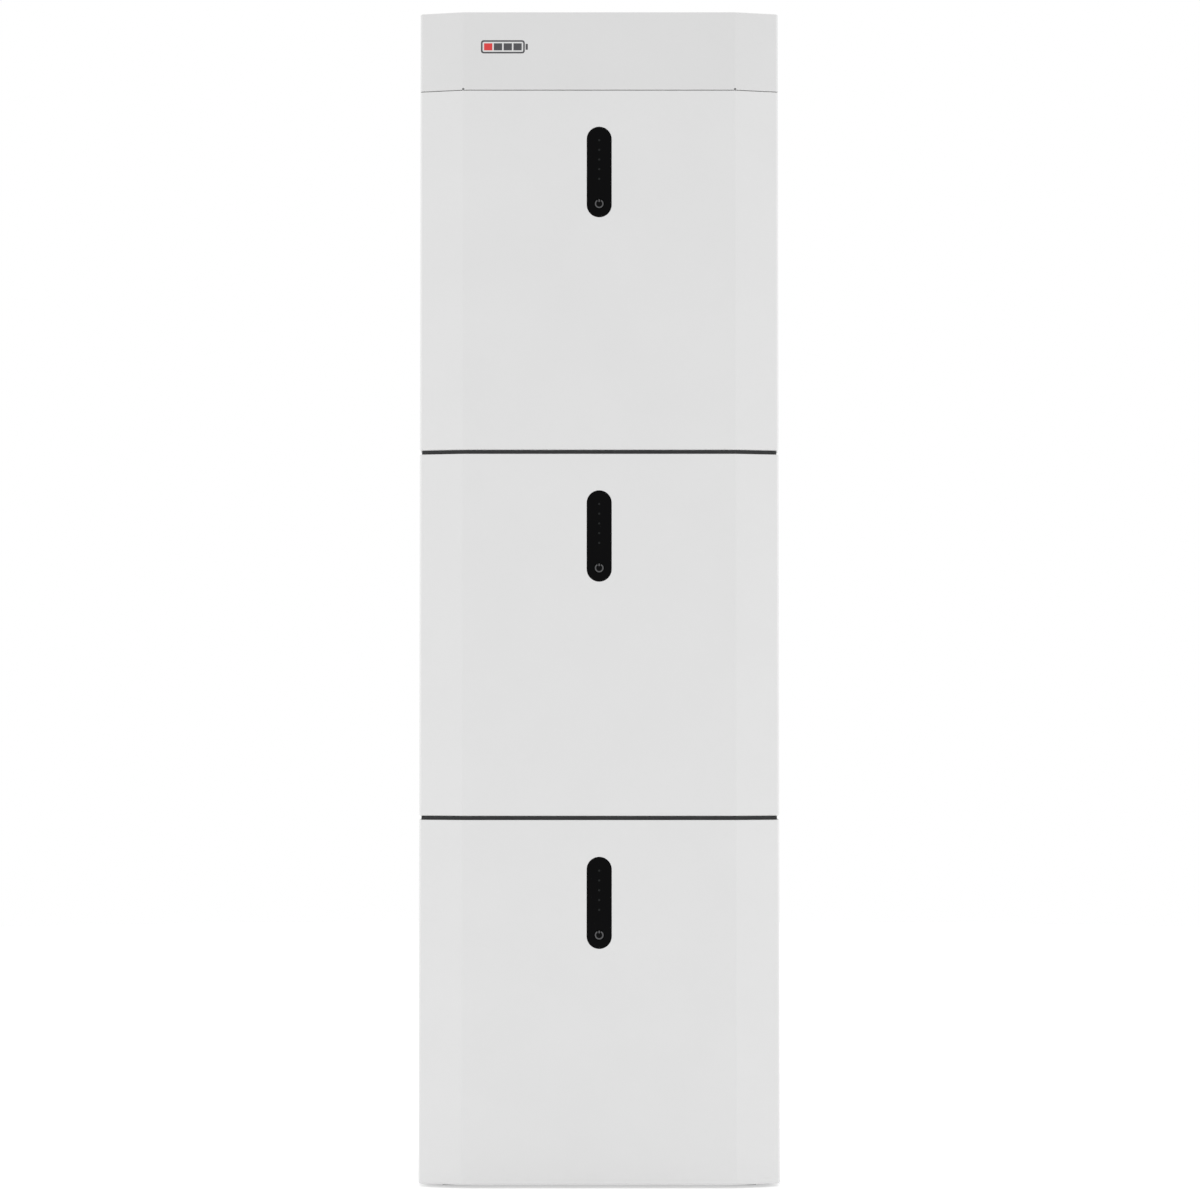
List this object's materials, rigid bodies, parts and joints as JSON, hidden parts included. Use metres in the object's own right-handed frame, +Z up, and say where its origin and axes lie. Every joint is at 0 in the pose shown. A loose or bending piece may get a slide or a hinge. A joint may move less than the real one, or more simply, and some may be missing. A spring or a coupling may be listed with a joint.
{
  "type": "wall battery unit",
  "caption": "Upright home battery tower of stacked white modules with faceted fronts, black pill-shaped status windows, pull-off side covers and a plain top cover.",
  "frame": {"origin": "centre of the tower's footprint, in the plane of the floor that its foot rails rest on", "axes": "+Z up, -Y out of the faceted front, +Y towards the wall, +X to the right seen from the front"},
  "size_m": [0.54, 0.24, 1.762],
  "materials": {
    "cover_paint": "satin",
    "seal_rubber": "matte",
    "dark_plastic": "matte",
    "frame_aluminium": "satin",
    "cell_wrap": "satin",
    "carrier_plastic": "matte",
    "circuit_board": "satin",
    "breaker_plastic": "satin",
    "toggle_plastic": "satin",
    "window_black": "gloss",
    "button_black": "gloss",
    "positive_sheath": "satin",
    "negative_sheath": "satin",
    "data_sheath": "satin",
    "galvanised_steel": "satin"
  },
  "bodies": {
    "tower": {"chassis_1": "cover_paint", "front_cover_1": "cover_paint", "cover_gasket_1": "seal_rubber", "grip_cup_1": "dark_plastic", "compression_frame_1": "frame_aluminium", "cell_bank_1": "cell_wrap", "busbar_carrier_1": "carrier_plastic", "bms_board_1": "circuit_board", "breaker_body_1": "breaker_plastic", "connector_panel_1": "dark_plastic", "indicator_window_1": "window_black", "indicator_board_1": "circuit_board", "chassis_2": "cover_paint", "front_cover_2": "cover_paint", "cover_gasket_2": "seal_rubber", "grip_cup_2": "dark_plastic", "compression_frame_2": "frame_aluminium", "cell_bank_2": "cell_wrap", "busbar_carrier_2": "carrier_plastic", "bms_board_2": "circuit_board", "breaker_body_2": "breaker_plastic", "connector_panel_2": "dark_plastic", "indicator_window_2": "window_black", "indicator_board_2": "circuit_board", "chassis_3": "cover_paint", "front_cover_3": "cover_paint", "cover_gasket_3": "seal_rubber", "grip_cup_3": "dark_plastic", "compression_frame_3": "frame_aluminium", "cell_bank_3": "cell_wrap", "busbar_carrier_3": "carrier_plastic", "bms_board_3": "circuit_board", "breaker_body_3": "breaker_plastic", "connector_panel_3": "dark_plastic", "indicator_window_3": "window_black", "indicator_board_3": "circuit_board", "stack_seal_1": "seal_rubber", "positive_lead_1": "positive_sheath", "negative_lead_1": "negative_sheath", "data_lead_1": "data_sheath", "stack_seal_2": "seal_rubber", "positive_lead_2": "positive_sheath", "negative_lead_2": "negative_sheath", "data_lead_2": "data_sheath", "top_tray": "cover_paint", "outlet_grommet": "seal_rubber", "wall_rail_left": "galvanised_steel", "foot_rail_left": "seal_rubber", "wall_rail_right": "galvanised_steel", "foot_rail_right": "seal_rubber"},
    "side_cover_1": {"side_cover_1": "cover_paint"},
    "side_cover_2": {"side_cover_2": "cover_paint"},
    "side_cover_3": {"side_cover_3": "cover_paint"},
    "power_button_1": {"power_button_1": "button_black"},
    "power_button_2": {"power_button_2": "button_black"},
    "power_button_3": {"power_button_3": "button_black"},
    "breaker_toggle_1": {"breaker_toggle_1": "toggle_plastic"},
    "breaker_toggle_2": {"breaker_toggle_2": "toggle_plastic"},
    "breaker_toggle_3": {"breaker_toggle_3": "toggle_plastic"},
    "top_cover": {"top_cover": "cover_paint"}
  },
  "joints": [
    {"name": "power_button_1_press", "type": "slide", "parent": "tower", "child": "power_button_1", "axis": [0, 1, 0], "range_m": [0, 0.0012], "stiffness_N_per_m": 1500, "springref_m": -0.0008},
    {"name": "power_button_2_press", "type": "slide", "parent": "tower", "child": "power_button_2", "axis": [0, 1, 0], "range_m": [0, 0.0012], "stiffness_N_per_m": 1500, "springref_m": -0.0008},
    {"name": "power_button_3_press", "type": "slide", "parent": "tower", "child": "power_button_3", "axis": [0, 1, 0], "range_m": [0, 0.0012], "stiffness_N_per_m": 1500, "springref_m": -0.0008},
    {"name": "breaker_toggle_1_swing", "type": "hinge", "parent": "tower", "child": "breaker_toggle_1", "pos_m": [0.22, -0.028, 0.486], "axis": [0, 1, 0], "range_deg": [0, 70]},
    {"name": "breaker_toggle_2_swing", "type": "hinge", "parent": "tower", "child": "breaker_toggle_2", "pos_m": [0.22, -0.028, 1.034], "axis": [0, 1, 0], "range_deg": [0, 70]},
    {"name": "breaker_toggle_3_swing", "type": "hinge", "parent": "tower", "child": "breaker_toggle_3", "pos_m": [0.22, -0.028, 1.582], "axis": [0, 1, 0], "range_deg": [0, 70]},
    {"name": "side_cover_1_removal", "type": "slide", "parent": "tower", "child": "side_cover_1", "axis": [1, 0, 0], "range_m": [0, 0.12]},
    {"name": "side_cover_2_removal", "type": "slide", "parent": "tower", "child": "side_cover_2", "axis": [1, 0, 0], "range_m": [0, 0.12]},
    {"name": "side_cover_3_removal", "type": "slide", "parent": "tower", "child": "side_cover_3", "axis": [1, 0, 0], "range_m": [0, 0.12]},
    {"name": "top_cover_lift_off", "type": "slide", "parent": "tower", "child": "top_cover", "axis": [0, 0, 1], "range_m": [0, 0.15]}
  ]
}
